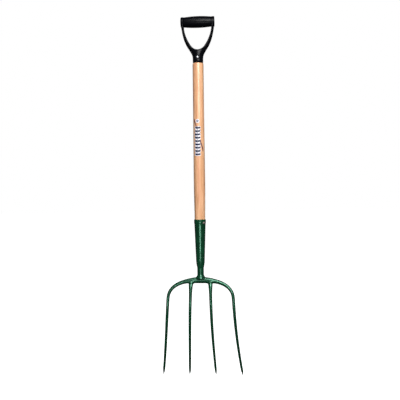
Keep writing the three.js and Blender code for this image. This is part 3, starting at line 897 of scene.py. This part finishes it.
# The grip's moulding: a socket that flares and parts into two arms, each ending in an eye that
# holds the crossbar. Half is grown and smoothed as a cage, and the crisp parts are joined on.
def buildGripYoke():
    start = rimZ - gripMake["startDrop"]
    bpy.ops.object.select_all(action="DESELECT")
    bpy.ops.mesh.primitive_circle_add(
        vertices=8, radius=gripMake["socketRadius"] * octagonToRound, fill_type="NGON",
        location=(0, 0, start))
    yoke = bpy.context.object
    startEditing(yoke)
    width = depth = gripMake["socketRadius"]
    z = start
    for height, nextWidth, nextDepth in gripMake["rings"]:
        nextZ = rimZ + height
        bpy.ops.mesh.extrude_region_move(TRANSFORM_OT_translate={"value": (0, 0, nextZ - z)})
        growth = (nextWidth / width, nextDepth / depth, 1)
        bpy.ops.transform.resize(value=growth, center_override=(0, 0, nextZ))
        width, depth, z = nextWidth, nextDepth, nextZ
    bpy.ops.mesh.select_all(action="SELECT")
    bpy.ops.mesh.bisect(plane_co=(0, 0, 0), plane_no=(1, 0, 0), clear_inner=True)

    forkZ = z
    pickFaces(lambda centre, normal: centre.z > forkZ - 1e-5)
    forkWidth = width * octagonToRound
    forkDepth = 2 * depth * octagonToRound
    stations = [(Vector((forkWidth / 2, 0, forkZ)), Vector((0, 0, 1)), forkWidth, forkDepth)]
    for innerX, innerZ, lean, armWidth, armDepth in gripMake["arm"]:
        turn = math.radians(lean)
        outwards = Vector((math.cos(turn), 0, -math.sin(turn)))
        upwards = Vector((math.sin(turn), 0, math.cos(turn)))
        middle = Vector((innerX, 0, innerZ)) + outwards * armWidth / 2
        stations.append((middle, upwards, armWidth, armDepth))
    growBar(stations, "Y")
    bpy.ops.object.mode_set(mode="OBJECT")
    useModifier(yoke, "MIRROR", use_clip=True, merge_threshold=1e-5)
    startEditing(yoke)
    endEditing()
    levels = gripMake["subdivisions"]
    useModifier(yoke, "SUBSURF", levels=levels, render_levels=levels)

    startEditing(yoke)
    bpy.ops.mesh.bisect(plane_co=(0, 0, rimZ), plane_no=(0, 0, 1), use_fill=True, clear_inner=True)
    endEditing()
    eye = buildGripEye()
    carve(yoke, mirroredCopy(eye), "UNION")
    carve(yoke, eye, "UNION")
    padY = gripMake["padY"]
    pad = gripMake["padRadius"]
    carve(yoke, layDown(turnBody("pads", rodLine(pad, padY), 64), "Y", gripRivetZ), "UNION")
    bore = gripMake["socketBore"]
    socketTop = rimZ + gripMake["socketDepth"]
    leadIn = gripMake["socketLeadIn"]
    socketLine = [(bore + leadIn, rimZ - smallStep), (bore, rimZ + leadIn), (bore, socketTop)]
    carve(yoke, turnBody("socket", socketLine))
    rodBore = crossbarMake["rodRadius"] + fitGap
    recess = crossbarMake["capRadius"] + fitGap
    recessX = capLow.x - fitGap
    for side in (1, -1):
        hole = [(rodBore, side * (halfHand - smallStep)), (rodBore, side * recessX),
                (recess, side * recessX), (recess, side * (halfGrip + smallStep))]
        carve(yoke, layDown(turnBody("hole", hole, 64), "X", crossbarZ))
    carve(yoke, gripRivetBore(padY + smallStep))
    return handOver(yoke, "gripYoke", "black_plastic", blackPlastic, "grip_yoke")


crossbarMake = {
    "middleRadius": 0.0190,
    "endRadius": 0.0163,
    "endRounding": 0.0009,
    "rodRadius": 0.004,
    "capRadius": 0.007,
    "capRounding": 0.0005,
    "capBevel": 0.0003,        # of its inner edge
    "capDimple": 0.0016,       # radius of the small hollow in a cap's middle
}


# The barrel-shaped hand piece between the arms.
def buildSleeve():
    half = sleeveHigh.x
    end = crossbarMake["endRadius"]
    peak = 2 * crossbarMake["middleRadius"] - end
    rounding = crossbarMake["endRounding"]
    bore = crossbarMake["rodRadius"] + fitGap
    barrel = curvePoints([(end, -half), (peak, 0), (end, half)], 28)[1:-1]
    outline = roundOff((end - rounding, -half), (end, -half), (end + 0.0001, rounding - half))
    outline += barrel
    outline += roundOff((end + 0.0001, half - rounding), (end, half), (end - rounding, half))
    outline += [(bore, half), (bore, -half), outline[0]]
    sleeve = layDown(turnBody("sleeve", outline, tube=True), "X", crossbarZ)
    return handOver(sleeve, "gripSleeve", "black_plastic", blackPlastic, "grip_sleeve")


def buildRod():
    half = rodHigh.x
    radius = crossbarMake["rodRadius"]
    rod = layDown(turnBody("rod", rodLine(radius, half), 48), "X", crossbarZ)
    return handOver(rod, "gripRod", "rivet_steel", zincSteel, "grip_rod")


# A plug pressed flush into each eye over the rod's end, with a small dimple left by the mould.
def buildCaps():
    inner = capLow.x
    outer = capHigh.x
    radius = crossbarMake["capRadius"]
    rounding = crossbarMake["capRounding"]
    dimple = crossbarMake["capDimple"]
    bevel = crossbarMake["capBevel"]
    outline = [(radius - bevel, inner), (radius, inner + bevel)]
    outline += roundOff((radius, outer - rounding), (radius, outer), (radius - rounding, outer))
    outline += [(dimple + 0.0002, outer), (dimple, outer - 0.0001), (dimple / 2, outer - 0.0004)]
    right = layDown(turnBody("cap", outline, 64), "X", crossbarZ)
    left = mirroredCopy(right)
    handOver(right, "gripCapRight", "black_plastic", blackPlastic, "grip_cap_right")
    handOver(left, "gripCapLeft", "black_plastic", blackPlastic, "grip_cap_left")


gripRivetMake = {
    "radius": 0.0024,
    "headRadius": 0.0042,
    "tailRadius": 0.0036,
    "washerRadius": 0.0052,
    "washerRounding": 0.0003,
}


# A domed head from its flat side to the middle of its crown.
def domeLine(radius, base, crown):
    line = []
    for degrees in range(0, 90, 9):
        turn = math.radians(degrees)
        line.append((radius * math.cos(turn), base + (crown - base) * math.sin(turn)))
    return line


# The rivet through the socket, head in front and closed over its washer at the back.
def buildGripRivet():
    radius = gripRivetMake["radius"]
    headBase = -(gripMake["padY"] + fitGap)
    tailBase = washerHigh.y + fitGap
    head = domeLine(gripRivetMake["headRadius"], headBase, gripRivetLow.y)
    tail = domeLine(gripRivetMake["tailRadius"], tailBase, gripRivetHigh.y)
    outline = head[::-1] + [(radius, headBase), (radius, tailBase)] + tail
    rivet = layDown(turnBody("rivet", outline, 48), "Y", gripRivetZ)
    handOver(rivet, "gripRivet", "rivet_steel", zincSteel, "grip_rivet")
    bore = radius + fitGap
    rim = gripRivetMake["washerRadius"]
    rounding = gripRivetMake["washerRounding"]
    low, high = washerLow.y, washerHigh.y
    ring = [(bore, low), (rim, low)]
    ring += roundOff((rim, high - rounding), (rim, high), (rim - rounding, high), 3)
    ring += [(bore, high), (bore, low)]
    washer = layDown(turnBody("washer", ring, 64, tube=True), "Y", gripRivetZ)
    handOver(washer, "gripRivetWasher", "rivet_steel", zincSteel, "grip_rivet_washer")


# The rivet across the ferrule's mouth, closed on both sides.
def buildFerruleRivet():
    base = ferruleMake["mouthBore"] + ferruleMake["wall"] + ferruleMake["rimThickening"] + fitGap
    radius = ferruleRivetMake["radius"]
    crown = base + ferruleRivetMake["headHeight"]
    head = domeLine(ferruleRivetMake["headRadius"], base, crown)
    outline = [(r, -z) for r, z in head[::-1]] + [(radius, -base), (radius, base)] + head
    rivet = spinRound(layDown(turnBody("rivet", outline, 48), "Y", ferruleRivetZ), ferruleRivetMake["turn"])
    return handOver(rivet, "ferruleRivet", "rivet_steel", dullSteel, "ferrule_rivet")


decalMake = {
    "lift": 0.00015,           # off the wood
    "thickness": 0.00015,
    "cornerRadius": 0.006,
    "navy": paint(14, 12, 52),
    "white": paint(240, 242, 255),
    "maroon": paint(84, 16, 38),
    # the rest is in millimetres, as the material counts
    "middle": -2.5,            # of the sprig, from the shaft's middle
    "sprigDrop": 33.0,         # from the film's top edge to the sprig
    "sprigRise": 12.0,         # and from its bottom edge
    "leafPitch": 11.0,
    "leafLength": 4.9,
    "leafWidth": 3.2,
    "stem": 0.9,
    "leafTilt": 16.0,          # degrees up from level
    "halo": 1.8,
    "budDrop": 16.0,
    "budSize": 4.0,
    "strokeWidth": 3.0,
    "filmMargin": 0.03,        # metres of sleeve kept past the film's ends, before it is cut out
    "strokes": [               # drop where each tendril starts and ends, and how far out it is there
        (8.0, 37.0, -14.0, -7.0),
        (78.0, 118.0, 6.5, 15.0),
    ],
}


# A printed sprig on clear film: navy leaves with white round them, a bud and two maroon tendrils.
def makeDecalPrint():
    material, place = startMaterial("decalPrint")
    drop = decalHigh.z * 1000 - partOf(place, "Z")
    length = (decalHigh.z - decalLow.z) * 1000
    across = partOf(place, "X")
    x = across - decalMake["middle"]
    out = x.sum("ABSOLUTE")
    pitch = decalMake["leafPitch"]
    up = (0.5 - (drop / pitch).sum("FRACT")) * pitch
    tilt = math.radians(decalMake["leafTilt"])
    outwards = out - decalMake["leafLength"]
    along = outwards * math.cos(tilt) + up * math.sin(tilt)
    lengthways = (along / decalMake["leafLength"]).sum("ABSOLUTE")
    crossways = (up * math.cos(tilt) - outwards * math.sin(tilt)).sum("ABSOLUTE")
    # each leaf is blunt and rounded at both ends
    leaf = crossways - (1 - lengthways ** 4) * decalMake["leafWidth"]
    leafEdge = leaf.sum("MINIMUM", out - decalMake["stem"])
    sprigEnd = length - decalMake["sprigRise"]
    sprigStart = decalMake["sprigDrop"]
    sprig = ramp(drop, sprigStart, sprigStart + 1) * (1 - ramp(drop, sprigEnd - 1, sprigEnd))
    leaves = (1 - ramp(leafEdge, -0.2, 0.2)) * sprig
    halo = decalMake["halo"]
    leafHalo = (1 - ramp(leafEdge, halo - 0.3, halo + 0.3)) * sprig

    budUp = drop - decalMake["budDrop"]
    fromBud = (x * x + budUp * budUp) ** 0.5
    size = decalMake["budSize"]
    bud = ramp(fromBud, size * 0.3, size * 0.45) * (1 - ramp(fromBud, size * 0.9, size * 1.1))
    budHalo = 1 - ramp(fromBud, size * 1.5, size * 1.7)
    printed = leaves.sum("MAXIMUM", bud)
    ground = leafHalo.sum("MAXIMUM", budHalo)

    half = decalMake["strokeWidth"] / 2
    lines = 0.0
    for start, end, startX, endX in decalMake["strokes"]:
        strokeX = ramp(drop, start, end) * (endX - startX) + startX
        aside = (across - strokeX).sum("ABSOLUTE")
        stroke = 1 - ramp(aside, half - 0.3, half + 0.3)
        lines = lines + stroke * ramp(drop, start, start + 3) * (1 - ramp(drop, end - 3, end))
    mottle = noise(place, 3.0, 2.0)
    marks = blend(printed, decalMake["white"], decalMake["navy"])
    colour = blend(lines * (1 - printed), marks, decalMake["maroon"])
    return finishMaterial(
        material, Base_Color=colour, Alpha=ground.sum("MAXIMUM", lines), Roughness=0.3 + mottle * 0.15)


# A thin film that follows the shaft's front, cut out of a sleeve with a rounded stencil.
def buildDecal():
    lift = decalMake["lift"]
    margin = decalMake["filmMargin"]
    line = [(r, z) for r, z in shaftLine() if decalLow.z - margin < z < decalHigh.z + margin]
    inner = [(r + lift, z) for r, z in line]
    outer = [(r + lift + decalMake["thickness"], z) for r, z in line]
    film = turnBody("film", inner + outer[::-1] + inner[:1], 192, tube=True)
    bpy.ops.object.select_all(action="DESELECT")
    middle = (decalLow.z + decalHigh.z) / 2
    bpy.ops.mesh.primitive_plane_add(size=1, location=(0, 0, middle), rotation=(math.pi / 2, 0, 0))
    stencil = bpy.context.object
    stencil.scale = (decalHigh.x - decalLow.x, decalHigh.z - decalLow.z, 1)
    startEditing(stencil)
    bpy.ops.mesh.bevel(offset=decalMake["cornerRadius"], segments=6, affect="VERTICES")
    bpy.ops.mesh.select_all(action="SELECT")
    bpy.ops.mesh.extrude_region_move(TRANSFORM_OT_translate={"value": (0, -0.03, 0)})
    endEditing()
    carve(film, stencil, "INTERSECT")
    return handOver(film, "shaftDecal", "decal_film", makeDecalPrint(), "shaft_decal")


buildShaft()
buildFerrule()
buildForgedHead()
buildGripYoke()
buildSleeve()
buildRod()
buildCaps()
buildGripRivet()
buildFerruleRivet()
buildDecal()
